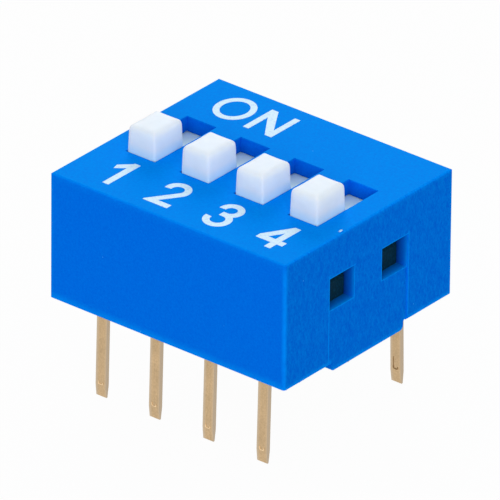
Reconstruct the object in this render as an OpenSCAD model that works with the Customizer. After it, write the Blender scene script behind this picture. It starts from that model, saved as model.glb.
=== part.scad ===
// Four-way slide DIP switch for a 2.54 mm board grid, in millimetres.
// The origin lies on the seating plane, in the middle of the pin pattern.
// X runs from switch 1 to switch 4, Y points to the ON side and Z points up.

/* [Pin pattern] */
// Distance between neighbouring switches
pitch = 2.54; // [2.4:0.01:3]
// Distance between the two rows of pins
row_spacing = 7.62; // [7:0.01:8.6]

/* [Cover] */
// Height of the cover's walls
cover_height = 5.15; // [4.8:0.05:6.5]
// Thickness of the top wall
top_wall = 0.62; // [0.4:0.02:0.9]
// Thickness of the two end walls
end_wall = 0.64; // [0.5:0.02:0.68]
// Thickness of the two long walls
side_wall = 0.65; // [0.4:0.01:1]
// Distance from the outer switches' centre lines to the end faces
end_margin = 1.715; // [1.65:0.005:2.2]
// Radius of the upright edges
upright_radius = 0.11; // [0.05:0.01:0.3]
// Radius of the edges round the top
top_radius = 0.1; // [0.04:0.01:0.25]
// Thickness of the ribs between the slides
rib_thickness = 0.4; // [0.3:0.02:0.6]
// How far the ribs reach below the slides' plates
rib_drop = 0.45; // [0.2:0.05:0.8]

/* [End faces] */
// Width of each snap window
window_width = 1.46; // [1.1:0.02:1.8]
// Height of each snap window
window_height = 1.35; // [1.1:0.01:1.6]
// Distance between the two windows' centre lines
window_spacing = 3.06; // [2.6:0.02:3.6]
// Height of the windows' sills above the walls' lower edge
window_sill = 2.18; // [1.9:0.02:2.5]
// Radius of the windows' corners
window_radius = 0.07; // [0.02:0.01:0.2]
// Depth of the snap panel below the end face
panel_depth = 0.05; // [0.02:0.01:0.12]
// How far the snap panel runs past the windows on each side
panel_margin = 0.02; // [0:0.01:0.2]
// Width of the tab that stands on the board
tab_width = 4.2; // [3:0.05:4.6]
// Height of the walls' lower edge above the board
stand_off = 0.38; // [0.34:0.02:0.8]
// Radius of the tab's lower corners
tab_tip_radius = 0.18; // [0.05:0.01:0.2]
// Radius of the hollow corners at the tab's root
tab_root_radius = 0.1; // [0.04:0.01:0.12]

/* [Slides] */
// Length of the slot in the top
slot_length = 3.56; // [3:0.02:4.4]
// Width of the slot in the top
slot_width = 1.4; // [1:0.02:1.6]
// Length of the knob along its travel
knob_length = 1.7; // [1.2:0.02:2]
// Height of the knob above the top
knob_height = 1.1; // [0.6:0.05:1.6]
// Radius of the edges round the knob's top
knob_top_radius = 0.3; // [0.05:0.01:0.4]
// Radius of the knob's upright edges
knob_upright_radius = 0.16; // [0.02:0.01:0.2]
// Thickness of the plate under the slot
plate_thickness = 0.55; // [0.4:0.05:0.8]
// How far the plate runs past the slot at the end of its travel
plate_overlap = 0.2; // [0.1:0.02:0.4]
// Width of the carrier that holds the contact
carrier_width = 1.2; // [0.9:0.05:1.4]
// Length of the carrier that holds the contact
carrier_length = 1.3; // [1:0.05:1.6]
// Radius of the stub that the contact is pressed on
stub_radius = 0.2; // [0.12:0.01:0.3]
// How far the stub stands out below the contact
stub_tail = 0.12; // [0.05:0.01:0.3]

/* [Contacts] */
// Width of the bridging contact
contact_width = 0.9; // [0.8:0.02:1.2]
// Thickness of the bridging contact
contact_thickness = 0.12; // [0.08:0.01:0.2]
// Height of the contact's flat above its feet
contact_rise = 0.75; // [0.5:0.05:0.9]
// Radius of the contact's feet
foot_radius = 0.15; // [0.1:0.01:0.2]
// Distance from mid-length at which a foot stops
foot_stop = 0.19; // [0.1:0.01:0.3]
// Insulating gap between a foot and the open terminal
contact_gap = 0.3; // [0.2:0.02:0.6]

/* [Base] */
// Thickness of the base's floor
base_floor = 1.7; // [1.4:0.05:2]
// How far the base sits inside the walls' lower edge
base_recess = 0.12; // [0:0.02:0.3]
// Thickness of the base's end walls
base_end_wall = 0.35; // [0.25:0.01:0.45]
// Width of each snap lug
lug_width = 1.3; // [0.8:0.02:1.4]
// Height of each snap lug
lug_height = 1.05; // [0.6:0.05:1.1]
// How far each snap lug reaches into its window
lug_reach = 0.16; // [0.08:0.01:0.26]
// Height of the slope at the top of each snap lug
lug_slope = 0.3; // [0.15:0.05:0.5]

/* [Terminals] */
// Width of a pin
pin_width = 0.48; // [0.4:0.01:0.6]
// Thickness of the terminals' strip
pin_thickness = 0.18; // [0.15:0.01:0.25]
// Length of a pin below the board's surface
pin_length = 3.56; // [2.6:0.01:4.2]
// How far the pins' tips lean outwards
pin_splay = 0.1; // [0:0.01:0.2]
// Length of the chisel tip
tip_length = 0.48; // [0.2:0.02:0.8]
// Thickness of the strip at the very tip
tip_thickness = 0.06; // [0.04:0.01:0.12]
// Width of the contact pad
pad_width = 1.1; // [0.8:0.05:1.3]

/* [Clearances] */
// Knob to the slot's long sides
knob_side_clearance = 0.03; // [0.02:0.01:0.08]
// Knob to the slot's ends
knob_end_clearance = 0.03; // [0.02:0.01:0.1]
// Plate to the ceiling
plate_top_clearance = 0.03; // [0.02:0.01:0.06]
// Plate to the ribs
plate_side_clearance = 0.1; // [0.05:0.01:0.15]
// Least room from the plate to the long walls at the end of its travel
plate_end_clearance = 0.28; // [0.2:0.02:0.5]
// Plate to the base's end walls below it
plate_wall_clearance = 0.2; // [0.1:0.02:0.4]
// Strip to the base's outer face
pin_margin = 0.3; // [0.2:0.01:0.5]
// Base to the cover's walls
base_clearance = 0.03; // [0.02:0.01:0.06]
// Lug to its window's sill
lug_clearance = 0.02; // [0.01:0.01:0.04]
// Pin to its slot in the base
pin_clearance = 0.02; // [0.01:0.01:0.04]
// Contact's feet to the pads
foot_clearance = 0.03; // [0.02:0.01:0.06]
// Contact's hole to the stub
stub_clearance = 0.02; // [0.01:0.01:0.04]

/* [Hidden] */
$fn = 48;
// Reach of a cutting shape past the face that it cuts
cut = 1;
switches = 4;
// Sides of the pin pattern along Y
front = -1;
rear = 1;

// Travel of a slide from OFF to ON, and the sizes that follow from it
travel = slot_length - knob_length - 2 * knob_end_clearance;
knob_width = slot_width - 2 * knob_side_clearance;
plate_width = pitch - rib_thickness - 2 * plate_side_clearance;
plate_length = travel + slot_length + 2 * plate_overlap;
foot_offset = travel / 2 + foot_stop;
off_y = -travel / 2;

// Outer and inner box of the cover
row_half = (switches - 1) * pitch / 2;
slide_reach = (travel + plate_length) / 2 + plate_end_clearance;
pin_reach = row_spacing / 2 + pin_thickness / 2 + pin_margin;
cavity_half_length = row_half + end_margin - end_wall;
cavity_half_width = max(slide_reach, pin_reach);
cover_half_length = cavity_half_length + end_wall;
cover_half_width = cavity_half_width + side_wall;
panel_width = window_spacing + window_width + 2 * panel_margin;

// Heights above the seating plane
wall_bottom = stand_off;
cover_top = wall_bottom + cover_height;
ceiling = cover_top - top_wall;
plate_top = ceiling - plate_top_clearance;
plate_bottom = plate_top - plate_thickness;
knob_top = cover_top + knob_height;
base_bottom = wall_bottom + base_recess;
floor_top = base_bottom + base_floor;
pad_top = floor_top + pin_thickness;
foot_bottom = pad_top + foot_clearance;
flat_bottom = foot_bottom + contact_rise;
flat_top = flat_bottom + contact_thickness;
sill = wall_bottom + window_sill;
window_top = sill + window_height;
lug_bottom = sill + lug_clearance;
lug_top = lug_bottom + lug_height;
snap_wall_top = plate_bottom - plate_wall_clearance;

// Inner ends of the pads: the front pad is long enough to stay under a foot in both positions
front_pad_end = -foot_stop + 2 * foot_radius;
rear_pad_end = foot_stop + foot_radius + contact_gap;

// Centre line of switch i, counted from 1
function switch_x(i) = (i - 1) * pitch - row_half;

// Rectangle about the origin with round corners
module rounded_rectangle(width, height, radius) {
    square([width, height - 2 * radius], center = true);
    square([width - 2 * radius, height], center = true);
    for (x = [-1, 1], y = [-1, 1])
        translate([x * (width / 2 - radius), y * (height / 2 - radius)])
            circle(radius);
}

// Upright rectangle with round top corners
module round_topped(width, bottom, top, radius) {
    translate([-width / 2, bottom])
        square([width, top - radius - bottom]);
    translate([-width / 2 + radius, bottom])
        square([width - 2 * radius, top - bottom]);
    for (x = [-1, 1])
        translate([x * (width / 2 - radius), top - radius])
            circle(radius);
}

// Block about the Z axis with round uprights and round top edges
module soft_block(length, width, bottom, top, upright, crown) {
    intersection() {
        translate([0, 0, bottom])
            linear_extrude(top - bottom)
                rounded_rectangle(length, width, upright);
        rotate([90, 0, 90])
            linear_extrude(length + cut, center = true)
                round_topped(width, bottom, top, crown);
        rotate([90, 0, 0])
            linear_extrude(width + cut, center = true)
                round_topped(length, bottom, top, crown);
    }
}

// Plain box about the Z axis
module box(length, width, bottom, top) {
    translate([-length / 2, -width / 2, bottom])
        cube([length, width, top - bottom]);
}

// Flat strip in a drawing, from one point to another
module strip(from, to, thickness) {
    run = to - from;
    translate(from)
        rotate(atan2(run.y, run.x))
            translate([0, -thickness / 2])
                square([norm(run), thickness]);
}

// Room inside the cover, with the ribs between the slides left standing
module cavity() {
    difference() {
        box(2 * cavity_half_length, 2 * cavity_half_width, wall_bottom - cut, ceiling);
        for (i = [1 : switches - 1])
            translate([(switch_x(i) + switch_x(i + 1)) / 2, 0, 0])
                box(rib_thickness, 2 * cavity_half_width + cut, plate_bottom - rib_drop, ceiling + cut);
    }
}

// Outline of the tab below an end wall, with round tips and hollow roots
module tab_outline() {
    half = tab_width / 2;
    translate([-half, tab_tip_radius])
        square([tab_width, sill - tab_tip_radius]);
    translate([-half + tab_tip_radius, 0])
        square([tab_width - 2 * tab_tip_radius, sill]);
    for (y = [-1, 1]) {
        translate([y * (half - tab_tip_radius), tab_tip_radius])
            circle(tab_tip_radius);
        difference() {
            translate([y * (half + tab_root_radius / 2), wall_bottom])
                square([tab_root_radius, 2 * tab_root_radius], center = true);
            translate([y * (half + tab_root_radius), wall_bottom - tab_root_radius])
                circle(tab_root_radius);
        }
    }
}

// Tab of the +X end
module tab() {
    translate([cavity_half_length, 0, 0])
        rotate([90, 0, 90])
            linear_extrude(end_wall)
                tab_outline();
}

// Snap panel and its two windows, cut into the +X end
module end_cuts() {
    translate([cover_half_length - panel_depth, -panel_width / 2, -cut])
        cube([panel_depth + cut, panel_width, window_top + cut]);
    for (y = [-1, 1])
        translate([cavity_half_length - cut, y * window_spacing / 2, (sill + window_top) / 2])
            rotate([90, 0, 90])
                linear_extrude(end_wall + 2 * cut)
                    rounded_rectangle(window_width, window_height, window_radius);
}

// Moulded shell with a slot for each knob, snap windows and standing tabs at both ends
module cover() {
    color("#0a74e0")
        difference() {
            union() {
                soft_block(
                    2 * cover_half_length, 2 * cover_half_width,
                    wall_bottom, cover_top, upright_radius, top_radius
                );
                for (x = [0, 1])
                    mirror([x, 0, 0])
                        tab();
            }
            cavity();
            for (i = [1 : switches])
                translate([switch_x(i), 0, 0])
                    box(slot_width, slot_length, ceiling - cut, cover_top + cut);
            for (x = [0, 1])
                mirror([x, 0, 0])
                    end_cuts();
        }
}

// End wall of the base with the two lugs that snap into the +X windows
module snap_wall() {
    outer = cavity_half_length - base_clearance;
    span = window_spacing + lug_width;
    translate([outer - base_end_wall, -span / 2, floor_top - cut / 2])
        cube([base_end_wall, span, snap_wall_top - floor_top + cut / 2]);
    for (y = [-1, 1])
        translate([0, y * window_spacing / 2, 0])
            rotate([90, 0, 0])
                linear_extrude(lug_width, center = true)
                    polygon([
                        [outer - base_end_wall / 2, lug_bottom],
                        [cavity_half_length + lug_reach, lug_bottom],
                        [cavity_half_length + lug_reach, lug_top - lug_slope],
                        [outer, lug_top],
                        [outer - base_end_wall / 2, lug_top]
                    ]);
}

// Moulded base that closes the cover and holds the terminals
module base() {
    color("#14181c")
        difference() {
            union() {
                box(
                    2 * (cavity_half_length - base_clearance),
                    2 * (cavity_half_width - base_clearance),
                    base_bottom, floor_top
                );
                for (x = [0, 1])
                    mirror([x, 0, 0])
                        snap_wall();
            }
            for (i = [1 : switches], side = [front, rear])
                translate([switch_x(i), side * row_spacing / 2, 0])
                    box(
                        pin_width + 2 * pin_clearance, pin_thickness + 2 * pin_clearance,
                        base_bottom - cut, floor_top + cut
                    );
        }
}

// White slide i at OFF: knob, plate under the slot, carrier and stub
module slide(i) {
    color("#f2f4f7")
        translate([switch_x(i), off_y, 0]) {
            soft_block(
                knob_width, knob_length, plate_bottom, knob_top,
                knob_upright_radius, knob_top_radius
            );
            box(plate_width, plate_length, plate_bottom, plate_top);
            box(carrier_width, carrier_length, flat_top, plate_top);
            translate([0, 0, flat_bottom - stub_tail])
                cylinder(r = stub_radius, h = plate_top - flat_bottom + stub_tail);
        }
}

// Outline of the bridging contact, seen along X
module contact_outline() {
    flat_y = flat_bottom + contact_thickness / 2;
    foot_y = foot_bottom + foot_radius;
    translate([-carrier_length / 2, flat_bottom])
        square([carrier_length, contact_thickness]);
    for (side = [-1, 1]) {
        knee = [side * carrier_length / 2, flat_y];
        foot = [side * foot_offset, foot_y];
        strip(knee, foot, contact_thickness);
        translate(knee)
            circle(contact_thickness / 2);
        translate(foot)
            circle(foot_radius);
    }
}

// Sprung contact i, pressed on the slide's stub
module contact(i) {
    color("#d8b25e")
        translate([switch_x(i), off_y, 0])
            difference() {
                rotate([90, 0, 90])
                    linear_extrude(contact_width, center = true)
                        contact_outline();
                translate([0, 0, flat_bottom - cut / 2])
                    cylinder(r = stub_radius + stub_clearance, h = cut);
            }
}

// Terminal i of the front or rear row: chisel-tipped pin and the pad on the base's floor
module terminal(i, side, pad_end) {
    strip_half = pin_thickness / 2;
    tip_half = tip_thickness / 2;
    shoulder = tip_length - pin_length;
    // The pin leans outwards from where it leaves the base
    tip_y = side * pin_splay;
    shoulder_y = tip_y * (base_bottom - shoulder) / (base_bottom + pin_length);
    outer_y = side * (row_spacing / 2 + strip_half);
    color("#c4a87d")
        translate([switch_x(i), 0, 0]) {
            translate([0, side * row_spacing / 2, 0])
                rotate([90, 0, 90])
                    linear_extrude(pin_width, center = true)
                        polygon([
                            [tip_y - tip_half, -pin_length],
                            [tip_y + tip_half, -pin_length],
                            [shoulder_y + strip_half, shoulder],
                            [strip_half, base_bottom],
                            [strip_half, pad_top],
                            [-strip_half, pad_top],
                            [-strip_half, base_bottom],
                            [shoulder_y - strip_half, shoulder]
                        ]);
            translate([0, (outer_y + pad_end) / 2, 0])
                box(pad_width, abs(outer_y - pad_end), floor_top, pad_top);
        }
}

cover();
base();
for (i = [1 : switches]) {
    slide(i);
    contact(i);
    terminal(i, front, front_pad_end);
    terminal(i, rear, rear_pad_end);
}
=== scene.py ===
"""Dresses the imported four-way DIP switch: slides, legend, pin marks, finishes and studio."""

import math
from functools import partial

import bmesh
import bpy
from bpy.props import FloatProperty, FloatVectorProperty, PointerProperty
from mathutils import Matrix, Vector


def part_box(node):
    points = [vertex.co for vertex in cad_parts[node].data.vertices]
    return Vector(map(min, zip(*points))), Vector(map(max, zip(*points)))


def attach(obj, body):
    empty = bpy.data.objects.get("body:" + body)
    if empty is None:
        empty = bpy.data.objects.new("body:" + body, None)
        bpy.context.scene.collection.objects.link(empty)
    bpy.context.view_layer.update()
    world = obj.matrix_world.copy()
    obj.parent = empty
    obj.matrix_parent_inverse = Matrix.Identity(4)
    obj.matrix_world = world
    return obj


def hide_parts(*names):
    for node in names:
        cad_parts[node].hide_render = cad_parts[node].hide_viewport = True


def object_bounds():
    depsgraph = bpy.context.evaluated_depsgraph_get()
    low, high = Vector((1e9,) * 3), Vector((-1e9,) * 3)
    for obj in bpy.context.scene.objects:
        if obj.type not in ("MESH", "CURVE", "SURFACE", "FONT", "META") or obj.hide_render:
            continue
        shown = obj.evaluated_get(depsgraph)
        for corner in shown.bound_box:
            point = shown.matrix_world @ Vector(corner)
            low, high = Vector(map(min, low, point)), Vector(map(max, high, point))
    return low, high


bl_info = {
    "name": "DIP Switch Dressing",
    "version": (1, 0, 0),
    "blender": (4, 5, 0),
    "location": "View3D > Sidebar > DIP Switch",
    "description": "Models a DIP switch's slides, legend and pin marks and finishes every piece",
    "category": "Object",
}

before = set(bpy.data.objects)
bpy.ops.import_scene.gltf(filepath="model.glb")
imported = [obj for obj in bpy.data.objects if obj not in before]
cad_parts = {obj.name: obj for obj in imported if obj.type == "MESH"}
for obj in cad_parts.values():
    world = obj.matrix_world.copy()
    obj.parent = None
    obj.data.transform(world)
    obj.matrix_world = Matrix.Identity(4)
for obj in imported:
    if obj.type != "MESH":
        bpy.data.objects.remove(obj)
CAD_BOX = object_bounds()

MM = 0.001
SWITCHES = (1, 2, 3, 4)
PITCH = 2.54

# Boxes of the CAD nodes that carry the new pieces, in millimetres
COVER_LOW, COVER_HIGH = (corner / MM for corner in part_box("cover"))
SLIDE_LOW, SLIDE_HIGH = (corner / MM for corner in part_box("slide_1"))
COVER_TOP = COVER_HIGH.z
KNOB_TOP = SLIDE_HIGH.z
# End faces: half width and top of the sunk panel and its depth, half width of the tab,
# height of the walls' foot
PANEL_EDGE, PANEL_TOP, PANEL_DEPTH = 2.28, 3.91, 0.05
TAB_EDGE, WALL_FOOT = 2.1, 0.38
# Windows: middle out from mid-width and up, half width and half height
WINDOW_MIDDLE, WINDOW_HALF = (1.53, 3.235), (0.73, 0.675)
# Slack for finding points by their place, in millimetres
SLACK = 1e-3


def linear(hex_colour):
    """Turns an sRGB hex colour into linear red, green and blue."""
    channels = [int(hex_colour[i:i + 2], 16) / 255 for i in (1, 3, 5)]
    return tuple(c / 12.92 if c <= 0.04045 else ((c + 0.055) / 1.055) ** 2.4 for c in channels)


def colour(name, description, hex_colour):
    """Declares a colour that a user may change."""
    return FloatVectorProperty(
        name=name, description=description, default=linear(hex_colour),
        subtype="COLOR", min=0, max=1)


def number(name, description, default, **options):
    """Declares a number that a user may change."""
    return FloatProperty(name=name, description=description, default=default, **options)


def millimetres(name, description, default):
    """Declares a size in millimetres that a user may change."""
    return number(name, description, default, unit="NONE", precision=3)


def degrees(name, description, default):
    """Declares an angle, given in degrees, that a user may change."""
    return number(name, description, math.radians(default), subtype="ANGLE")


def metres(name, description, default):
    """Declares a distance in metres that a user may change."""
    return number(name, description, default, subtype="DISTANCE", unit="LENGTH")


class SlideSettings(bpy.types.PropertyGroup):
    """Sizes and colours of the four slides, in millimetres."""

    knob_width: millimetres("Knob width", "Width of a knob's foot across its travel", 1.34)
    knob_length: millimetres("Knob length", "Length of a knob's foot along its travel", 1.7)
    draft: millimetres("Draft", "How far each side of a knob leans in towards its top", 0.03)
    crown: millimetres("Crown", "Reach of the rounding of a knob's top from its sides", 0.46)
    upright: millimetres("Upright", "Reach of the rounding of a knob's upright edges", 0.22)
    plate: millimetres("Plate", "Thickness of the plate under the slot", 0.55)
    plate_drop: millimetres("Plate drop", "Depth of the plate's top below the cover's top", 0.65)
    carrier: millimetres("Carrier", "Length of the carrier under the plate", 1.3)
    nylon: colour("Nylon", "Colour of the slides", "#E2EDF9")
    # The foot colour is painted shade and blue bounce light, and the deep colour painted blue
    # bounce light, both from the blue cover round the knobs
    foot: colour("Foot", "Colour of the knobs' feet, where the blue shows through", "#C3E8FF")
    deep: colour("Deep", "Colour of the slides' plates, deep in the blue slots", "#DEFCFF")


class LegendSettings(bpy.types.PropertyGroup):
    """Sizes and colour of the printed legend, in millimetres."""

    thickness: millimetres("Ink thickness", "Height of the ink above the cover", 0.012)
    word_stroke: millimetres("Word stroke", "Width of the strokes of the word", 0.255)
    numeral_stroke: millimetres("Numeral stroke", "Width of the strokes of the numerals", 0.27)
    ink: colour("Ink", "Colour of the ink", "#D2EEFF")


class PinSettings(bpy.types.PropertyGroup):
    """Sizes and colours of the terminals and their coined marks, in millimetres."""

    lean: millimetres("Lean", "How far a pin's tip leans outwards from the base's underside", 0.1)
    underside: millimetres("Underside", "Height of the base's underside above the board", 0.5)
    row: millimetres("Row", "Distance of a row of pins from mid-width", 3.81)
    thickness: millimetres("Thickness", "Thickness of the strip", 0.18)
    mark_width: millimetres("Mark width", "Width of the coined mark on a pin", 0.2)
    foot_line: millimetres("Foot line", "Width of the line of a mark's foot", 0.04)
    leg_line: millimetres("Leg line", "Width of the line of a mark's long leg", 0.018)
    mark_depth: millimetres("Mark depth", "How far a mark's burr stands out from the strip", 0.012)
    front_height: millimetres("Front height", "Height of the front marks above the tips", 0.52)
    rear_height: millimetres("Rear height", "Height of the rear marks above the tips", 0.58)
    front_leg: millimetres("Front leg", "Length of the front marks' left leg", 0.06)
    rear_leg: millimetres("Rear leg", "Length of the rear marks' left leg", 0.42)
    brass: colour("Flashed brass", "Colour of the pins", "#CDB088")
    # The rolled edges' paler colour is a painted highlight, stronger on the left edges
    rolled: colour("Rolled edges", "Colour of the edges rolled over by the shears", "#CEBCA3")
    cut: colour("Cut faces", "Colour of the pins' sheared side faces", "#BEAB92")
    # The front marks' paler colour is a painted highlight and the rear marks' darker colour painted
    # shade
    bright: colour("Bright mark", "Colour of the burnished marks on the front row", "#F0D2A8")
    mark_shade_colour: colour("Dull mark", "Colour of the tarnished marks on the rear row", "#9A7A50")


class HousingSettings(bpy.types.PropertyGroup):
    """Colours of the cover, the base and the contacts."""

    cover: colour("Cover", "Colour of the moulded cover", "#006BE9")
    # The top's paler colour is a painted sheen, and the ends' darker colour is painted shade
    top: colour("Top", "Colour of the cover's top, moulded smoother", "#007EF2")
    ends: colour("Ends", "Colour of the cover's ends, moulded rougher", "#0064DA")
    # Painted shade far down in the slots and windows
    deep: colour("Deep skin", "Colour far down in the slots and windows, never rubbed", "#001474")
    # Painted highlight along the cover's edges and the rims of its windows and panel
    edge_highlight_painted: colour("Rubbed edges", "Colour of the cover where its edges are rubbed", "#0090FF")
    # The base is dark; its blue cast is painted light bounced from the blue cover
    base: colour("Base", "Colour of the moulded base", "#062838")
    contact: colour("Contacts", "Colour of the sprung contacts", "#D8B25E")


class FlashSettings(bpy.types.PropertyGroup):
    """Sizes and colour of the moulding flash, in millimetres."""

    strip: millimetres("Strip", "Depth of the flash under the end walls", 0.05)
    inset: millimetres("Inset", "How far the flash stays inside the end faces", 0.02)
    ruffle: millimetres("Ruffle", "How far the torn flash strays from a straight strip", 0.014)
    pale: colour("Stressed plastic", "Colour of flash that whitened as it was bent", "#BFE4FF")


class StageSettings(bpy.types.PropertyGroup):
    """Camera, floor and light."""

    azimuth: degrees("Azimuth", "Camera's angle round the part", 38.949)
    elevation: degrees("Elevation", "Camera's angle above the horizon", 28.55)
    roll: degrees("Roll", "Camera's tilt about its line of sight", 0.554)
    distance: metres("Distance", "Camera's distance from its aim", 0.493891)
    lens: number("Lens", "Focal length in millimetres", 971.185)
    aim: FloatVectorProperty(
        name="Aim", description="Point in the middle of the picture",
        default=(-0.0005165, 0.0005813, 0.001817), subtype="XYZ", unit="LENGTH", precision=6)
    front_power: number("Front power", "Power of the soft box in front", 0.97, unit="POWER")
    back_power: number("Back power", "Power of the soft box behind", 0.9, unit="POWER")
    box_size: metres("Soft box", "Width of a soft box", 0.3)
    horizon: number("Horizon", "Level of the tent's light from the sides", 0.42, min=0, max=2)
    zenith: number("Zenith", "Level of the tent's light from above", 0.77, min=0, max=2)
    glow: number("Glow", "Share of white in what the camera sees of the floor", 0.97, min=0, max=1)
    floor: colour("Floor", "Colour of the floor", "#D0D2D4")


class DipSwitchSettings(bpy.types.PropertyGroup):
    """All the settings of the dressing."""

    slides: PointerProperty(type=SlideSettings)
    legend: PointerProperty(type=LegendSettings)
    pins: PointerProperty(type=PinSettings)
    housing: PointerProperty(type=HousingSettings)
    flash: PointerProperty(type=FlashSettings)
    stage: PointerProperty(type=StageSettings)


def settings(context):
    """Returns all the settings of this add-on."""
    return context.scene.dip_switch


def add_node(tree, kind, inputs=(), **options):
    """Adds a shader node with its options, and sets its inputs or links them.

    Inputs are given by name, or in the order of the sockets in use. A node given as an input
    stands for the first of its outputs in use.
    """
    node = tree.nodes.new("ShaderNode" + kind)
    for name, value in options.items():
        setattr(node, name, value)
    if isinstance(inputs, dict):
        pairs = [(node.inputs[name], value) for name, value in inputs.items()]
    else:
        pairs = zip([socket for socket in node.inputs if socket.enabled], inputs)
    for socket, value in pairs:
        if isinstance(value, bpy.types.Node):
            value = next(output for output in value.outputs if output.enabled)
        if isinstance(value, bpy.types.NodeSocket):
            tree.links.new(value, socket)
        else:
            socket.default_value = (*value, 1) if socket.type == "RGBA" else value
    return node


def new_material(name):
    """Starts an empty material, and returns it with the function that adds nodes to it."""
    material = bpy.data.materials.new(name)
    material.use_nodes = True
    material.node_tree.nodes.clear()
    return material, partial(add_node, material.node_tree)


def object_space(add):
    """Returns a piece's own coordinates in metres and in millimetres.

    On the second, a pattern's scale counts its features per millimetre.
    """
    place = add("TexCoord").outputs["Object"]
    return place, add("Mapping", {"Vector": place, "Scale": (1 / MM, 1 / MM, 1 / MM)})


def set_stops(ramp, *stops):
    """Puts the stops of a colour ramp at their positions and colours them."""
    for element, (position, tone) in zip(ramp.color_ramp.elements, stops):
        element.position = position
        element.color = (*tone, 1)


def scaled_colour(base, factor):
    """Returns a colour made darker or brighter, up to white."""
    return tuple(min(1, factor * channel) for channel in base)


def seen_by_camera(add):
    """Tells rays that show a surface to the camera, straight or in metal or glass, from light."""
    rays = add("LightPath")
    mirror = add("Math", (
        rays.outputs["Is Glossy Ray"], rays.outputs["Is Transmission Ray"]), operation="MAXIMUM")
    return add("Math", (rays.outputs["Is Camera Ray"], mirror), operation="MAXIMUM")


def dress(obj, material):
    """Gives an object one material."""
    obj.data.materials.clear()
    obj.data.materials.append(material)


def clear_selection():
    """Leaves edit mode and deselects everything."""
    if bpy.context.mode != "OBJECT":
        bpy.ops.object.mode_set(mode="OBJECT")
    bpy.ops.object.select_all(action="DESELECT")


def make_active(obj):
    """Selects one object alone."""
    clear_selection()
    obj.select_set(True)
    bpy.context.view_layer.objects.active = obj


def pick_verts(obj, test):
    """In edit mode, selects the vertices of a mesh that pass a test."""
    bpy.ops.mesh.select_mode(type="VERT")
    bpy.ops.mesh.select_all(action="DESELECT")
    mesh = bmesh.from_edit_mesh(obj.data)
    for vert in mesh.verts:
        if test(vert):
            vert.select_set(True)
    mesh.select_flush_mode()
    bmesh.update_edit_mesh(obj.data)


def settle():
    """Puts the place and size of a new, unturned object into its mesh."""
    bpy.ops.object.transform_apply(location=True, rotation=False, scale=True)


def add_block(low, high):
    """Adds a cube that fills the box between two corners, in millimetres."""
    clear_selection()
    low, high = Vector(low), Vector(high)
    bpy.ops.mesh.primitive_cube_add(size=1, location=(low + high) / 2, scale=high - low)
    settle()
    return bpy.context.object


def cut_mesh(point, normal, **options):
    """In edit mode, cuts the whole mesh along a plane."""
    bpy.ops.mesh.select_all(action="SELECT")
    bpy.ops.mesh.bisect(
        plane_co=point, plane_no=Vector(normal).normalized(), threshold=1e-6, **options)


def apply_modifier(obj, kind, **options):
    """Adds a modifier to an object and applies it."""
    make_active(obj)
    modifier = obj.modifiers.new(kind.title(), kind)
    for name, value in options.items():
        setattr(modifier, name, value)
    bpy.ops.object.modifier_apply(modifier=modifier.name)


def unite(parts):
    """Unites overlapping solids into the first of them."""
    body = parts[0]
    for other in parts[1:]:
        apply_modifier(body, "BOOLEAN", operation="UNION", solver="EXACT", object=other)
        bpy.data.objects.remove(other)
    return body


def name_piece(obj, name):
    """Names an object and its mesh."""
    obj.name = name
    obj.data.name = name
    return obj


def finish_piece(obj, name, smooth=None):
    """Brings a piece that was drawn in millimetres to metres and names it."""
    make_active(obj)
    obj.scale = (MM, MM, MM)
    bpy.ops.object.transform_apply()
    if smooth is not None:
        bpy.ops.object.shade_smooth_by_angle(angle=math.radians(smooth))
    return name_piece(obj, name)


def copy_to_switch(obj, name, node, switch):
    """Copies a finished piece of switch 1, with a mesh of its own, to another switch's node."""
    make_active(obj)
    bpy.ops.object.duplicate(linked=False)
    copy = bpy.context.object
    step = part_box(f"{node}_{switch}")[0].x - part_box(f"{node}_1")[0].x
    copy.location = (step, 0, 0)
    bpy.ops.object.transform_apply()
    return name_piece(copy, f"{name}_{switch}")


def cover_grain(add, place, scaled, on_end):
    """Returns the cover's fine grain, and the mottling that it gives about a middle of one half.

    The end faces are mottled the most, and they alone have strokes, which lean both ways.
    """
    middle, stroke_share = 0.5, 0.6
    wall_strength, end_extra = 0.35, 1.05
    # Mottling about 0.08 mm across, and strokes 0.07 mm wide and 0.24 mm long
    grain = add("TexNoise", {"Vector": scaled, "Scale": 12.0, "Detail": 3.0, "Roughness": 0.6})
    leaning = []
    for lean in (0.4, -0.15):
        turned = add("Mapping", {
            "Vector": place, "Rotation": (lean, 0, 0), "Scale": (MM, 0.07 * MM, 0.24 * MM)},
            vector_type="TEXTURE")
        leaning.append(add("TexNoise", {"Vector": turned, "Scale": 1.0, "Detail": 2.0}))
    strokes = add("Mix", (0.5, *leaning), data_type="FLOAT")
    stroked = add("Math", (on_end, stroke_share), operation="MULTIPLY")
    mixed = add("Mix", (stroked, grain, strokes), data_type="FLOAT")
    strength = add("Math", (on_end, end_extra, wall_strength), operation="MULTIPLY_ADD")
    about_zero = add("Math", (mixed, middle), operation="SUBTRACT")
    spread = add("Math", (about_zero, strength), operation="MULTIPLY")
    return grain, add("Math", (spread, middle), operation="ADD")


def level_depth(add, from_side, from_top, from_foot):
    """Measures the distance to the cover's rim or foot, whichever is nearer.

    The painted edge highlight on the front and rear walls fades more softly, over about twice the
    height: a distance there counts for a share of itself, from a small start.
    """
    beside_wall = add("MapRange", {
        "Value": from_side, "From Max": 0.05, "To Min": 1.0, "To Max": 0.0})
    levels = []
    for depth, share, start in ((from_top, 0.4, 0.07), (from_foot, 0.5, 0.02)):
        softer = add("Math", (depth, share, start), operation="MULTIPLY_ADD")
        levels.append(add("Mix", (beside_wall, depth, softer), data_type="FLOAT"))
    return add("Math", levels, operation="MINIMUM")


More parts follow.
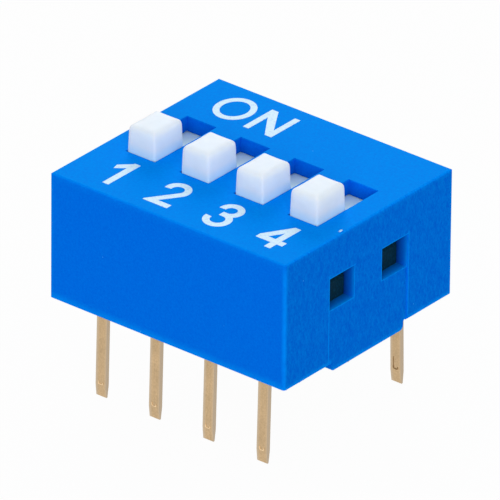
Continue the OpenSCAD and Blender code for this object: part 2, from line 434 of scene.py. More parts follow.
def window_rim(add, across, height, from_end):
    """Measures the distance to a window's rim, whose painted highlight reaches less far on the face
    than inside.
    """
    face_factor = 3.0
    past = []
    for place, middle, half in zip((across, height), WINDOW_MIDDLE, WINDOW_HALF):
        off_middle = add("Math", (place, middle), operation="SUBTRACT")
        either_way = add("Math", (off_middle,), operation="ABSOLUTE")
        past.append(add("Math", (either_way, half), operation="SUBTRACT"))
    outline = add("Math", past, operation="MAXIMUM")
    off_outline = add("Math", (outline,), operation="ABSOLUTE")
    on_face = add("Math", (off_outline, face_factor), operation="MULTIPLY")
    below_panel = add("Math", (from_end, PANEL_DEPTH), operation="SUBTRACT")
    return add("Math", (on_face, below_panel), operation="MAXIMUM")


def panel_rim(add, across, height, from_end):
    """Measures the distance to the upright edges of the sunk panel, which get a painted highlight
    in a line.
    """
    face_factor, step = 4.0, 0.02
    past_step = add("Math", (across, PANEL_EDGE + step), operation="SUBTRACT")
    either_way = add("Math", (past_step,), operation="ABSOLUTE")
    on_face = add("Math", (either_way, face_factor), operation="MULTIPLY")
    above_panel = add("Math", (height, PANEL_TOP), operation="SUBTRACT")
    off_level = add("Math", (above_panel, from_end), operation="MAXIMUM")
    return add("Math", (on_face, off_level), operation="MAXIMUM")


def pale_specks(add, scaled):
    """Strews specks about 0.06 mm across, one in each of a few cells of 0.9 mm."""
    reach, rarity, faintness = 0.035, 0.62, 0.5
    cells = add("TexVoronoi", {"Vector": scaled, "Scale": 1.1, "Randomness": 1.0})
    near = add("Math", (cells.outputs["Distance"], reach), operation="LESS_THAN")
    chosen = add("Math", (cells.outputs["Color"], rarity), operation="GREATER_THAN")
    speck = add("Math", (near, chosen), operation="MULTIPLY")
    return add("Math", (speck, faintness), operation="MULTIPLY")


def blue_pbt(sizes):
    """Moulded PBT: satin blue, with its top painted paler as a painted sheen and its
    rougher-grained ends painted darker as painted shade.

    It has a fine mottled grain, a painted highlight along its edges, painted shade deep in the
    slots and windows, and a few pale specks.
    """
    material, add = new_material("blue_moulded_pbt")
    place, scaled = object_space(add)
    axes = add("SeparateXYZ", (scaled,))
    height = axes.outputs["Z"]
    along = add("Math", (axes.outputs["X"],), operation="ABSOLUTE")
    across = add("Math", (axes.outputs["Y"],), operation="ABSOLUTE")
    panel_face = COVER_HIGH.x - PANEL_DEPTH
    on_end = add("MapRange", {
        "Value": along, "From Min": panel_face - 0.02, "From Max": panel_face - 0.005})
    on_top = add("MapRange", {
        "Value": height, "From Min": COVER_TOP - 0.08, "From Max": COVER_TOP - 0.01},
        interpolation_type="SMOOTHSTEP")
    grain, mottle = cover_grain(add, place, scaled, on_end)
    shade = add("ValToRGB", {"Fac": mottle})
    set_stops(shade, (0.34, (0.7, 0.7, 0.93)), (0.66, (1.3, 1.3, 1.07)))
    # Painted sheen and shade: the top is painted paler and the ends darker than the front and rear
    sides = add("Mix", (on_end, sizes.cover, sizes.ends), data_type="RGBA")
    plain = add("Mix", (on_top, sides, sizes.top), data_type="RGBA")
    body = add("Mix", (1.0, plain, shade), data_type="RGBA", blend_type="MULTIPLY")

    # Depths in millimetres below the outer faces, and height above the walls' or the tab's foot
    from_end = add("Math", (COVER_HIGH.x, along), operation="SUBTRACT")
    from_side = add("Math", (COVER_HIGH.y, across), operation="SUBTRACT")
    from_top = add("Math", (COVER_TOP, height), operation="SUBTRACT")
    beside_tab = add("Math", (across, TAB_EDGE), operation="GREATER_THAN")
    foot = add("Math", (beside_tab, WALL_FOOT), operation="MULTIPLY")
    from_foot = add("Math", (height, foot), operation="SUBTRACT")
    from_level = level_depth(add, from_side, from_top, from_foot)
    # On any outer face one of the three depths is nought, so the middle one of them is the
    # distance to the nearest edge of the box
    nearer = add("Math", (from_end, from_side), operation="MINIMUM")
    farther = add("Math", (from_end, from_side), operation="MAXIMUM")
    lesser = add("Math", (farther, from_level), operation="MINIMUM")
    box_edge = add("Math", (nearer, lesser), operation="MAXIMUM")
    end_edge = add("Math", (
        window_rim(add, across, height, from_end), panel_rim(add, across, height, from_end)),
        operation="MINIMUM")
    edge = add("Math", (box_edge, end_edge), operation="MINIMUM")
    # Painted highlight: the edges are painted paler, the most right at them
    highlight_falloff = add("MapRange", {
        "Value": edge, "From Min": 0.0, "From Max": 0.21, "To Min": 1.0, "To Max": 0.0},
        interpolation_type="SMOOTHSTEP")
    # The painted edge highlight comes and goes over about 0.4 mm, and is fainter on the rim of the
    # top
    patches = add("TexNoise", {"Vector": scaled, "Scale": 2.5, "Detail": 4.0})
    uneven = add("MapRange", {
        "Value": patches, "From Min": 0.35, "From Max": 0.65, "To Min": 0.5, "To Max": 0.8})
    top_rim_highlight_share = add("MapRange", {"Value": from_top, "From Max": 0.5, "To Min": 0.3, "To Max": 1.0})
    share = add("Math", (uneven, top_rim_highlight_share), operation="MULTIPLY")
    highlight_share = add("Math", (highlight_falloff, share), operation="MULTIPLY")
    with_highlight = add("Mix", (highlight_share, body, sizes.edge_highlight_painted), data_type="RGBA")

    # Painted shade: the skin in the slots and windows is painted deeper in colour, the farther in
    # the more
    inward_pace, downward_pace, onset = 2.7, 0.95, 1.15
    inwards = add("Math", (nearer, inward_pace), operation="MULTIPLY")
    downwards = add("Math", (from_level, downward_pace), operation="MULTIPLY")
    sunk = add("Math", (inwards, downwards), operation="MINIMUM")
    depth = add("MapRange", {
        "Value": sunk, "From Min": 0.12, "From Max": 1.5, "To Min": 0.0, "To Max": 0.92})
    painted_shade_share = add("Math", (depth, onset), operation="POWER")
    skin = add("Mix", (painted_shade_share, with_highlight, sizes.deep), data_type="RGBA")
    tint = add("Mix", (pale_specks(add, scaled), skin, linear("#50B4FF")), data_type="RGBA")
    rough = add("MapRange", {
        "Value": grain, "From Min": 0.3, "From Max": 0.7, "To Min": 0.42, "To Max": 0.56})
    relief = add("Bump", {"Strength": 0.5, "Distance": 0.004 * MM, "Height": mottle})
    shader = add("BsdfPrincipled", {
        "Base Color": tint, "Roughness": rough, "Normal": relief,
        "IOR": 1.5, "Specular IOR Level": 0.002, "Specular Tint": linear("#00B4FF"),
        "Sheen Weight": 0.5, "Sheen Roughness": 0.45, "Sheen Tint": linear("#00E0FF")})
    add("OutputMaterial", {"Surface": shader})
    return material


def black_pbt(base):
    """Moulded glass-filled PBT: matt black with pale fibre flecks."""
    material, add = new_material("black_glass_filled_pbt")
    place = add("TexCoord").outputs["Object"]
    # Fibres about 0.05 mm wide and 0.25 mm long
    drawn = add("Mapping", {"Vector": place, "Scale": (4000, 20000, 8000)})
    fibre = add("TexNoise", {"Vector": drawn, "Scale": 1.0, "Detail": 2.0})
    body = add("ValToRGB", {"Fac": fibre})
    set_stops(body, (0.45, base), (0.8, scaled_colour(base, 2.2)))
    relief = add("Bump", {"Strength": 0.4, "Distance": 0.004 * MM, "Height": fibre})
    shader = add("BsdfPrincipled", {
        "Base Color": body, "Roughness": 0.6, "IOR": 1.5, "Specular IOR Level": 0.03,
        "Normal": relief})
    add("OutputMaterial", {"Surface": shader})
    return material


def stressed_pbt(base):
    """PBT whitened by bending: pale and matt, blotched where the blue still shows."""
    material, add = new_material("stress_whitened_pbt")
    scaled = object_space(add)[1]
    # Blotches about 0.07 mm across
    blotch = add("TexNoise", {"Vector": scaled, "Scale": 14.0, "Detail": 2.0})
    body = add("ValToRGB", {"Fac": blotch})
    set_stops(body, (0.3, linear("#2C98F4")), (0.5, base))
    shader = add("BsdfPrincipled", {
        "Base Color": body, "Roughness": 0.55, "IOR": 1.5, "Specular IOR Level": 0.2})
    add("OutputMaterial", {"Surface": shader})
    return material


def white_nylon(sizes):
    """Moulded nylon: milky white that lets light in a little, satin, with blue bounce light and
    shade painted on its foot.
    """
    material, add = new_material("white_moulded_nylon")
    scaled = object_space(add)[1]
    height = add("SeparateXYZ", (scaled,)).outputs["Z"]
    # Clouding about 0.5 mm across
    cloud = add("TexNoise", {"Vector": scaled, "Scale": 2.0, "Detail": 3.0})
    body = add("ValToRGB", {"Fac": cloud})
    set_stops(body, (0.3, scaled_colour(sizes.nylon, 0.955)), (0.7, sizes.nylon))
    # Painted shade and blue bounce light up to about 0.4 mm above the cover, and painted blue
    # bounce light as far down into the slot
    reach = 0.4
    near_foot = add("MapRange", {
        "Value": height, "From Min": COVER_TOP, "From Max": COVER_TOP + reach,
        "To Min": 1.0, "To Max": 0.0})
    with_painted_bounce = add("Mix", (near_foot, body, sizes.foot), data_type="RGBA")
    in_slot = add("MapRange", {
        "Value": height, "From Min": COVER_TOP - reach, "From Max": COVER_TOP,
        "To Min": 1.0, "To Max": 0.0})
    milky = add("Mix", (in_slot, with_painted_bounce, sizes.deep), data_type="RGBA")
    # Light goes deep into the knob and not into the thin plate
    milk = add("MapRange", {
        "Value": height, "From Min": COVER_TOP, "From Max": COVER_TOP + reach,
        "To Min": 0.0, "To Max": 0.7})
    # Skin grain about 0.06 mm across
    skin = add("TexNoise", {"Vector": scaled, "Scale": 16.0, "Detail": 2.0})
    rough = add("MapRange", {
        "Value": skin, "From Min": 0.3, "From Max": 0.7, "To Min": 0.4, "To Max": 0.5})
    relief = add("Bump", {"Strength": 0.3, "Distance": 0.002 * MM, "Height": skin})
    shader = add("BsdfPrincipled", {
        "Base Color": milky, "Roughness": rough, "Normal": relief,
        "IOR": 1.53, "Specular IOR Level": 0.1, "Subsurface Weight": milk,
        "Subsurface Radius": (0.8, 0.92, 1.0), "Subsurface Scale": 1.5 * MM})
    add("OutputMaterial", {"Surface": shader})
    return material


def printed_ink(base):
    """Pad-printed white ink: matt and thin, so that a little of the blue shows in its pores."""
    material, add = new_material("pad_printed_white_ink")
    scaled = object_space(add)[1]
    # Pores about 0.08 mm across
    pores = add("TexNoise", {"Vector": scaled, "Scale": 12.0, "Detail": 3.0})
    body = add("ValToRGB", {"Fac": pores})
    set_stops(body, (0.25, linear("#B4D4F8")), (0.5, base))
    shader = add("BsdfPrincipled", {
        "Base Color": body, "Roughness": 0.55, "IOR": 1.48, "Specular IOR Level": 0.2})
    add("OutputMaterial", {"Surface": shader})
    return material


def sheared_edges(add, scaled, surface, rolled, cut):
    """Paints a highlight on the edges that the shears rolled over, the left ones more, and colours
    the cut faces.
    """
    # The pins stand at odd multiples of half the pitch, and past this half width lies the cut
    half_width = 0.236
    across = add("SeparateXYZ", (scaled,)).outputs["X"]
    wrapped = add("Math", (across, PITCH, 0.0), operation="WRAP")
    off_middle = add("Math", (wrapped, PITCH / 2), operation="SUBTRACT")
    left_edge = add("MapRange", {
        "Value": off_middle, "From Min": -0.1, "From Max": -0.23, "To Min": 0.0, "To Max": 0.85})
    right_edge = add("MapRange", {
        "Value": off_middle, "From Min": 0.14, "From Max": 0.235, "To Min": 0.0, "To Max": 0.5})
    edge_highlight_share = add("Math", (left_edge, right_edge), operation="MAXIMUM")
    pale = add("Mix", (edge_highlight_share, surface, rolled), data_type="RGBA")
    either_way = add("Math", (off_middle,), operation="ABSOLUTE")
    cut_face = add("Math", (either_way, half_width), operation="GREATER_THAN")
    return add("Mix", (cut_face, pale, cut), data_type="RGBA")


def flashed_brass(name, base, roughness, edges=None):
    """Brass strip with a thin gold flash: pale matt metal, drawn lengthwise, gritty, with clouds of
    tarnish.

    Where the colours of its rolled edges and cut faces are given, the strip shows them.
    """
    material, add = new_material(name)
    place, scaled = object_space(add)
    # Drawing lines about 0.03 mm wide that run the length of the strip
    drawn = add("Mapping", {"Vector": place, "Scale": (30000, 30000, 500)})
    lines = add("TexNoise", {"Vector": drawn, "Scale": 1.0, "Detail": 3.0})
    # Tarnish clouds about 0.6 mm across, and grit about 0.07 mm across
    cloud = add("TexNoise", {"Vector": scaled, "Scale": 1.6, "Detail": 3.0})
    grit = add("TexNoise", {"Vector": scaled, "Scale": 14.0, "Detail": 2.0})
    cloud_share, grit_share, unevenness = 0.45, 0.4, 0.06
    clouded = add("Mix", (cloud_share, lines, cloud), data_type="FLOAT")
    mixed = add("Mix", (grit_share, clouded, grit), data_type="FLOAT")
    surface = add("ValToRGB", {"Fac": mixed})
    set_stops(surface, (0.36, scaled_colour(base, 0.8)), (0.64, scaled_colour(base, 1.12)))
    if edges:
        surface = sheared_edges(add, scaled, surface, *edges)
    rough = add("MapRange", {
        "Value": lines, "From Min": 0.3, "From Max": 0.7,
        "To Min": roughness - unevenness, "To Max": roughness + unevenness})
    relief = add("Bump", {"Strength": 0.4, "Distance": 0.002 * MM, "Height": mixed})
    shader = add("BsdfPrincipled", {
        "Base Color": surface, "Metallic": 1.0, "Roughness": rough, "Normal": relief})
    add("OutputMaterial", {"Surface": shader})
    return material


class DIPSWITCH_OT_housing(bpy.types.Operator):
    """Gives the cover, the base and the contacts their finishes."""

    bl_idname = "dip_switch.housing"
    bl_label = "Finish Housing"

    def execute(self, context):
        sizes = settings(context).housing
        dress(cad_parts["cover"], blue_pbt(sizes))
        dress(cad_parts["base"], black_pbt(sizes.base))
        gold = flashed_brass("gold_flashed_spring", sizes.contact, roughness=0.3)
        for i in SWITCHES:
            dress(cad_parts[f"contact_{i}"], gold)
        return {"FINISHED"}


class DIPSWITCH_OT_slides(bpy.types.Operator):
    """Models one slide, copies it to the other switches and replaces the plain solids."""

    bl_idname = "dip_switch.slides"
    bl_label = "Model Slides"

    def execute(self, context):
        sizes = settings(context).slides
        middle = (SLIDE_LOW + SLIDE_HIGH) / 2
        plate_top = COVER_TOP - sizes.plate_drop
        knob = self.draw_knob(sizes, middle.x, middle.y)
        plate = add_block(
            (SLIDE_LOW.x, SLIDE_LOW.y, plate_top - sizes.plate),
            (SLIDE_HIGH.x, SLIDE_HIGH.y, plate_top))
        # The carrier ends inside the plate, and the stub below it reaches up into the carrier
        half_width, half_length, below_plate = 0.6, sizes.carrier / 2, 0.1
        stub_radius, stub_length, stub_shown = 0.2, 0.6, 0.24
        carrier = add_block(
            (middle.x - half_width, middle.y - half_length, SLIDE_LOW.z + stub_shown),
            (middle.x + half_width, middle.y + half_length, plate_top - below_plate))
        clear_selection()
        bpy.ops.mesh.primitive_cylinder_add(
            vertices=32, radius=stub_radius, depth=stub_length,
            location=(middle.x, middle.y, SLIDE_LOW.z + stub_length / 2))
        settle()
        stub = bpy.context.object
        for part, width, segments in ((plate, 0.06, 3), (carrier, 0.05, 3), (stub, 0.03, 2)):
            apply_modifier(part, "BEVEL", width=width, segments=segments, limit_method="ANGLE")
        first = finish_piece(unite([plate, knob, carrier, stub]), "moulded_slide_1", smooth=35)
        dress(first, white_nylon(sizes))
        # All the copies are made from the first one before any plain solid is hidden
        pieces = [first]
        pieces += [copy_to_switch(first, "moulded_slide", "slide", i) for i in SWITCHES[1:]]
        for i, piece in zip(SWITCHES, pieces):
            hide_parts(f"slide_{i}")
            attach(piece, f"slider_{i}")
        return {"FINISHED"}

    def draw_knob(self, sizes, x, y):
        """Draws a knob as a cage with support cuts, and rounds it by subdivision."""
        root, waist = COVER_TOP - 1, COVER_TOP - 0.6
        half = Vector((sizes.knob_width / 2, sizes.knob_length / 2))
        inner = half - Vector((sizes.upright, sizes.upright))
        reach = half - Vector((sizes.crown, sizes.crown))
        knob = add_block((x - half.x, y - half.y, root), (x + half.x, y + half.y, KNOB_TOP))
        bpy.ops.object.mode_set(mode="EDIT")
        for side in (-1, 1):
            cut_mesh((x + side * (half.x - sizes.upright), 0, 0), (1, 0, 0))
            cut_mesh((0, y + side * (half.y - sizes.upright), 0), (0, 1, 0))
        for height in (waist, COVER_TOP, KNOB_TOP - sizes.crown):
            cut_mesh((0, 0, height), (0, 0, 1))

        def on_top_ring(vert):
            across, along = abs(vert.co.x - x), abs(vert.co.y - y)
            inside = across < inner.x + SLACK and along < inner.y + SLACK
            return inside and vert.co.z > KNOB_TOP - SLACK

        pick_verts(knob, on_top_ring)
        bpy.ops.transform.resize(
            value=(reach.x / inner.x, reach.y / inner.y, 1), center_override=(x, y, KNOB_TOP))
        pick_verts(knob, lambda vert: vert.co.z > KNOB_TOP - sizes.crown - SLACK)
        bpy.ops.transform.resize(
            value=(1 - sizes.draft / half.x, 1 - sizes.draft / half.y, 1),
            center_override=(x, y, KNOB_TOP))
        apply_modifier(knob, "SUBSURF", levels=3, render_levels=3)
        return knob


def trim(edges, level):
    """In edit mode, cuts a flat shape along lines, each keeping what lies on its left."""
    for start, end in edges:
        run = Vector(end) - Vector(start)
        cut_mesh((*start, level), (run.y, -run.x, 0), clear_outer=True)


def draw_bar(low, high, edges=()):
    """Draws a flat bar of a letter, trimmed along lines where it slants."""
    clear_selection()
    low, high = Vector((*low, COVER_TOP)), Vector((*high, COVER_TOP))
    size = high - low
    bpy.ops.mesh.primitive_plane_add(size=1, location=(low + high) / 2)
    bar = bpy.context.object
    bar.scale = (size.x, size.y, 1)
    settle()
    if edges:
        bpy.ops.object.mode_set(mode="EDIT")
        trim(edges, COVER_TOP)
        bpy.ops.object.mode_set(mode="OBJECT")
    return bar


def draw_ring(centre, size, stroke):
    """Draws a flat oval ring."""
    clear_selection()
    bpy.ops.mesh.primitive_circle_add(
        vertices=72, radius=0.5, fill_type="NGON", location=(*centre, COVER_TOP))
    ring = bpy.context.object
    ring.scale = (*size, 1)
    settle()
    bpy.ops.object.mode_set(mode="EDIT")
    bpy.ops.mesh.select_all(action="SELECT")
    bpy.ops.mesh.inset(thickness=stroke)
    bpy.ops.mesh.delete(type="FACE")
    bpy.ops.object.mode_set(mode="OBJECT")
    return ring


def draw_stroke(start, heading, width, moves, level, edges=()):
    """Draws a flat stroke with a pen, and trims it along lines.

    A move (0, length) goes straight on, and a move (radius, degrees) bends clockwise.
    """
    clear_selection()
    nib, degrees_a_step = 0.02, 6
    angle = math.radians(heading)
    ahead = Vector((math.cos(angle), math.sin(angle), 0))
    pen = Vector((*start, level))
    bpy.ops.mesh.primitive_plane_add(size=1, location=pen - nib / 2 * ahead)
    stroke = bpy.context.object
    stroke.rotation_euler.z = angle
    stroke.scale = (nib, width, 1)
    bpy.ops.object.transform_apply()
    bpy.ops.object.mode_set(mode="EDIT")
    pick_verts(stroke, lambda vert: (vert.co - pen).dot(ahead) > -nib / 4)
    for radius, amount in moves:
        if radius:
            hub = pen + radius * Vector((ahead.y, -ahead.x, 0))
            bpy.ops.mesh.spin(
                steps=max(3, round(abs(amount) / degrees_a_step)), angle=math.radians(amount),
                center=hub, axis=(0, 0, 1), dupli=False)
            turn = Matrix.Rotation(-math.radians(amount), 3, "Z")
            pen, ahead = hub + turn @ (pen - hub), turn @ ahead
        else:
            bpy.ops.mesh.extrude_region_move(TRANSFORM_OT_translate={"value": amount * ahead})
            pen = pen + amount * ahead
    trim(edges, level)
    bpy.ops.object.mode_set(mode="OBJECT")
    return stroke


def thicken(stroke, thickness):
    """Turns a flat stroke face up and gives it a thickness."""
    make_active(stroke)
    bpy.ops.object.mode_set(mode="EDIT")
    bpy.ops.mesh.select_all(action="SELECT")
    bpy.ops.mesh.normals_make_consistent(inside=False)
    bpy.ops.object.mode_set(mode="OBJECT")
    if stroke.data.polygons[0].normal.z < 0:
        bpy.ops.object.mode_set(mode="EDIT")
        bpy.ops.mesh.flip_normals()
        bpy.ops.object.mode_set(mode="OBJECT")
    apply_modifier(stroke, "SOLIDIFY", thickness=thickness, offset=1)


class DIPSWITCH_OT_legend(bpy.types.Operator):
    """Prints the word ON and the numerals of the switches on the cover."""

    bl_idname = "dip_switch.legend"
    bl_label = "Print Legend"

    def execute(self, context):
        sizes = settings(context).legend
        glyphs = self.draw_word(sizes.word_stroke)
        glyphs.update(self.draw_numerals(sizes.numeral_stroke))
        ink = printed_ink(sizes.ink)
        for name, strokes in glyphs.items():
            for stroke in strokes:
                thicken(stroke, sizes.thickness)
            glyph = finish_piece(unite(strokes), name)
            dress(glyph, ink)
            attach(glyph, "housing")
        return {"FINISHED"}

    def draw_word(self, line):
        """Draws the letters of the word as flat strokes."""
        left, right, foot, head = -2.412, -1.084, 2.447, 4.15
        return {
            "legend_letter_o": [draw_ring((-3.498, 3.314), (1.578, 1.766), line)],
            "legend_letter_n": [
                draw_bar((left, foot), (left + line, head)),
                draw_bar((right - line, foot), (right, head)),
                draw_bar((left, foot), (right, head), [
                    ((right, 2.505), (-2.115, head)), ((left, 3.941), (-1.387, foot))]),
            ],
        }

    def draw_numerals(self, line):
        """Draws the numerals as flat strokes."""
        one_right, one_foot, one_head = -3.319, -4.194, -2.338
        flag_corner, flag_tip = (-4.038, -2.819), (-3.975, -3.088)
        two_foot, two_left = -4.225, -1.66
        four_stem, four_foot, four_head, four_left = 3.975, -4.175, -2.381, 3.275
        return {
            "legend_numeral_1": [
                draw_bar((one_right - line, one_foot), (one_right, one_head)),
                draw_bar((flag_corner[0], flag_tip[1]), (-3.45, one_head), [
                    ((-3.525, one_head), flag_corner), (flag_corner, flag_tip),
                    (flag_tip, (-3.644, flag_corner[1]))]),
            ],
            "legend_numeral_2": [
                draw_stroke((-1.489, -2.969), 100, line, [(0.395, 225), (0, 1.7)], COVER_TOP, [
                    ((-2, two_foot), (0, two_foot)), ((two_left, 0), (two_left, -5))]),
                draw_bar((-1.5, two_foot), (-0.538, two_foot + line)),
            ],
            "legend_numeral_3": [
                draw_stroke((1.031, -2.904), 94, line, [(0.37, 274)], COVER_TOP),
                draw_stroke((1.4, -3.256), 0, line, [(0.425, 274)], COVER_TOP),
                draw_bar((1.231, -3.388), (1.42, -3.108)),
            ],
            "legend_numeral_4": [
                draw_bar((four_stem, four_foot), (four_stem + line, four_head)),
                draw_bar((four_left, -3.79), (4.494, -3.51)),
                draw_bar((four_left, -3.7), (4.2, four_head), [
                    ((3.99, four_head), (four_left, -3.53)), ((3.513, -3.678), (4.228, -2.529))]),
            ],
        }


class DIPSWITCH_OT_terminals(bpy.types.Operator):
    """Gives the terminals their finish and coins a U-shaped mark on both faces of each pin."""

    bl_idname = "dip_switch.terminals"
    bl_label = "Finish Terminals"

    def execute(self, context):
        sizes = settings(context).pins
        brass = flashed_brass(
            "gold_flashed_brass_strip", sizes.brass, roughness=0.42,
            edges=(sizes.rolled, sizes.cut))
        # The front marks get a painted highlight and the rear marks painted shade, in brass of one
        # kind
        painted_highlight = flashed_brass("brass_painted_highlight", sizes.bright, roughness=0.3)
        painted_shade = flashed_brass("brass_painted_shade", sizes.mark_shade_colour, roughness=0.5)
        for row, side, height, leg, finish in (
            ("front", -1, sizes.front_height, sizes.front_leg, painted_highlight),
            ("rear", 1, sizes.rear_height, sizes.rear_leg, painted_shade),
        ):
            node, name = f"terminal_{row}", f"coined_marks_{row}"
            first = self.draw_marks(sizes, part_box(f"{node}_1"), side, height, leg)
            finish_piece(first, f"{name}_1")
            dress(first, finish)
            for i in SWITCHES:
                dress(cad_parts[f"{node}_{i}"], brass)
                marks = first if i == 1 else copy_to_switch(first, name, node, i)
                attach(marks, "housing")
        return {"FINISHED"}

    def draw_marks(self, sizes, box, side, height, leg):
        """Draws the two marks of a row's first pin, on its leaning faces."""
        low, high = (corner / MM for corner in box)
        foot = low.z + height
        slope = sizes.lean / (sizes.underside - low.z)
        faces = []
        for face in (-1, 1):
            mark = self.draw_mark(sizes, leg)
            # The flat mark is stood up, turned to its face and leant with the pin
            stand = Matrix.Rotation(math.radians(90), 4, "X")
            turn = Matrix.Rotation(math.radians(0 if face < 0 else 180), 4, "Z")
            lean = Matrix.Rotation(side * math.atan(slope), 4, "X")
            middle = side * (sizes.row + slope * (sizes.underside - foot))
            place = ((low.x + high.x) / 2, middle + face * sizes.thickness / 2, foot)
            mark.matrix_world = Matrix.Translation(place) @ lean @ turn @ stand
            make_active(mark)
            bpy.ops.object.transform_apply()
            faces.append(mark)
        make_active(faces[0])
        faces[1].select_set(True)
        bpy.ops.object.join()
        return faces[0]

    def draw_mark(self, sizes, leg):
        """Draws a flat U with a bold foot and, on its left, a fine leg, where light and shade show
        on the coined groove.
        """
        bend, stub = 0.05, 0.04
        parts = []
        for length, line in ((stub, sizes.foot_line), (leg, sizes.leg_line)):
            start = (-sizes.mark_width / 2, length + bend)
            corner, foot = (-bend, -90), (0, sizes.mark_width - 2 * bend)
            moves = [(0, length), corner, foot, corner, (0, stub)]
            parts.append(draw_stroke(start, -90, line, moves, 0))
            thicken(parts[-1], sizes.mark_depth)
        return unite(parts)


class DIPSWITCH_OT_flash(bpy.types.Operator):
    """Adds the mould's flash: ragged strips and nibs at the walls' feet, and a curl on the rim."""

    bl_idname = "dip_switch.flash"
    bl_label = "Add Flash"

    def execute(self, context):
        sizes = settings(context).flash
        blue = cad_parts["cover"].data.materials[0]
        pale = stressed_pbt(sizes.pale)
        # The strips run from beside the tab to just short of the corners
        start, end_gap, half_depth = 2.2, 0.12, sizes.strip / 3
        strip_lengths, nib_lengths = 36, 4
        rows = (("front", COVER_LOW.y + end_gap, -start), ("rear", start, COVER_HIGH.y - end_gap))
        for end, x in (("right", COVER_HIGH.x), ("left", COVER_LOW.x)):
            outer = x - math.copysign(sizes.inset, x)
            inner = outer - math.copysign(sizes.strip, x)
            for row, near, far in rows:
                strip = add_block(
                    (min(outer, inner), near, WALL_FOOT - half_depth),
                    (max(outer, inner), far, WALL_FOOT + half_depth))
                self.ruffle(1, near, far, strip_lengths, sizes.ruffle, seed=len(end) + len(row))
                self.place(strip, f"flash_strip_{end}_{row}", blue)
        for name, low, high in (
            ("flash_nib_front", (2.86, COVER_LOW.y, WALL_FOOT),
             (3.02, COVER_LOW.y + 0.05, WALL_FOOT + 0.05)),
            ("flash_nib_end", (COVER_HIGH.x - 0.07, -2.83, WALL_FOOT),
             (COVER_HIGH.x - 0.02, -2.69, WALL_FOOT + 0.06)),
            ("flash_curl_rim", (5.34, -1.62, COVER_TOP), (5.44, -1.44, COVER_TOP + 0.05)),
        ):
            nib = add_block(low, high)
            axis = 0 if high[0] - low[0] > high[1] - low[1] else 1
            self.ruffle(axis, low[axis], high[axis], nib_lengths, sizes.ruffle, seed=len(name))
            apply_modifier(nib, "SUBSURF", levels=2, render_levels=2)
            self.place(nib, name, pale)
        return {"FINISHED"}

    def ruffle(self, axis, near, far, lengths, amount, seed):
        """Cuts the new strip into lengths and ruffles it, as torn flash is."""
        bpy.ops.object.mode_set(mode="EDIT")
        normal = Vector((axis == 0, axis == 1, 0))
        for i in range(1, lengths):
            cut_mesh(normal * (near + (far - near) * i / lengths), normal)
        bpy.ops.mesh.select_all(action="SELECT")
        bpy.ops.transform.vertex_random(offset=amount, seed=seed)
        bpy.ops.object.mode_set(mode="OBJECT")

    def place(self, piece, name, material):
        """Names a piece of flash, dresses it and fixes it to the housing."""
        finish_piece(piece, name, smooth=40)
        dress(piece, material)
        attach(piece, "housing")


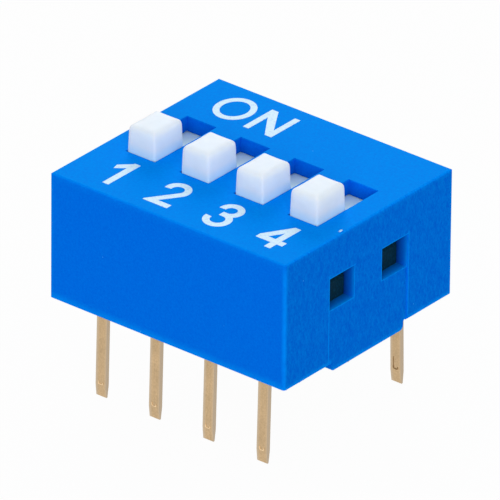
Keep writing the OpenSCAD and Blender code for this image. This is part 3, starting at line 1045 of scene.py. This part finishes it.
class DIPSWITCH_OT_stage(bpy.types.Operator):
    """Adds the floor, the light and the camera."""

    bl_idname = "dip_switch.stage"
    bl_label = "Set Stage"

    def execute(self, context):
        stage = settings(context).stage
        scene = context.scene
        self.add_floor(stage)
        self.add_tent(stage, scene)
        self.add_soft_boxes(stage)
        self.add_camera(stage, scene)
        scene.view_settings.view_transform = "Standard"
        return {"FINISHED"}

    def add_floor(self, stage):
        """Lays a pale floor under the pins, white to the camera, with the part's soft shadow."""
        clear_selection()
        bpy.ops.mesh.primitive_plane_add(size=4, location=(0, 0, CAD_BOX[0].z))
        floor = bpy.context.object
        floor.name = "studio_floor"
        material, add = new_material("matt_white_floor")
        share = add("Math", (seen_by_camera(add), stage.glow), operation="MULTIPLY")
        matt = add("BsdfDiffuse", {"Color": stage.floor})
        glow = add("Emission", {"Color": (1, 1, 1), "Strength": 1.0})
        both = add("MixShader", (share, matt, glow))
        add("OutputMaterial", {"Surface": both})
        dress(floor, material)

    def add_tent(self, stage, scene):
        """Lights the part from all round, more from above than from the sides."""
        world = bpy.data.worlds.new("studio_light_tent")
        scene.world = world
        world.use_nodes = True
        world.node_tree.nodes.clear()
        add = partial(add_node, world.node_tree)
        heading = add("TexCoord")
        axes = add("SeparateXYZ", (heading.outputs["Generated"],))
        tent = add("MapRange", {
            "Value": axes.outputs["Z"], "To Min": stage.horizon, "To Max": stage.zenith})
        level = add("MapRange", {"Value": seen_by_camera(add), "To Min": tent, "To Max": 1.0})
        sky = add("Background", {"Color": (1, 1, 1), "Strength": level})
        add("OutputWorld", {"Surface": sky})

    def add_soft_boxes(self, stage):
        """Hangs a soft box in front of the part and one behind it, both turned to it."""
        for name, place, power in (
            ("soft_box_front", (0.29, -0.33, 0.15), stage.front_power),
            ("soft_box_back", (-0.265, 0.33, 0.23), stage.back_power),
        ):
            clear_selection()
            bpy.ops.object.light_add(type="AREA", location=place)
            box = bpy.context.object
            box.name = name
            box.data.shape = "DISK"
            box.data.size = stage.box_size
            box.data.energy = power
            box.rotation_euler = box.location.to_track_quat("Z", "Y").to_euler()

    def add_camera(self, stage, scene):
        """Stands the camera at its angle round the part."""
        clear_selection()
        back = Vector((
            math.sin(stage.azimuth) * math.cos(stage.elevation),
            -math.cos(stage.azimuth) * math.cos(stage.elevation),
            math.sin(stage.elevation),
        ))
        right = Vector((0, 0, 1)).cross(back).normalized()
        up = back.cross(right)
        level = Matrix((right, up, back)).transposed()
        turned = level @ Matrix.Rotation(stage.roll, 3, "Z")
        bpy.ops.object.camera_add(location=Vector(stage.aim) + stage.distance * back)
        camera = bpy.context.object
        camera.name = "photo_camera"
        camera.rotation_euler = turned.to_euler()
        camera.data.lens = stage.lens
        camera.data.sensor_width = 36
        camera.data.sensor_fit = "HORIZONTAL"
        scene.camera = camera


class DIPSWITCH_PT_dressing(bpy.types.Panel):
    """Lists the settings and the steps of the dressing."""

    bl_idname = "DIPSWITCH_PT_dressing"
    bl_label = "DIP Switch"
    bl_space_type = "VIEW_3D"
    bl_region_type = "UI"
    bl_category = "DIP Switch"

    def draw(self, context):
        for name, operator in STEPS.items():
            group = getattr(settings(context), name)
            box = self.layout.box()
            for key in group.bl_rna.properties.keys():
                if key not in ("rna_type", "name"):
                    box.prop(group, key)
            box.operator(operator.bl_idname)


# Each group of settings with the step that uses it
STEPS = {
    "housing": DIPSWITCH_OT_housing,
    "slides": DIPSWITCH_OT_slides,
    "legend": DIPSWITCH_OT_legend,
    "pins": DIPSWITCH_OT_terminals,
    "flash": DIPSWITCH_OT_flash,
    "stage": DIPSWITCH_OT_stage,
}
CLASSES = (
    SlideSettings, LegendSettings, PinSettings, HousingSettings, FlashSettings, StageSettings,
    DipSwitchSettings, *STEPS.values(), DIPSWITCH_PT_dressing,
)


def register():
    """Registers the classes and the scene's settings."""
    for cls in CLASSES:
        bpy.utils.register_class(cls)
    bpy.types.Scene.dip_switch = PointerProperty(type=DipSwitchSettings)


def unregister():
    """Takes the settings and the classes away again."""
    del bpy.types.Scene.dip_switch
    for cls in reversed(CLASSES):
        bpy.utils.unregister_class(cls)


def main():
    """Runs every step in order."""
    register()
    bpy.ops.dip_switch.housing()
    bpy.ops.dip_switch.slides()
    bpy.ops.dip_switch.legend()
    bpy.ops.dip_switch.terminals()
    bpy.ops.dip_switch.flash()
    bpy.ops.dip_switch.stage()
    clear_selection()


if __name__ == "__main__":
    main()
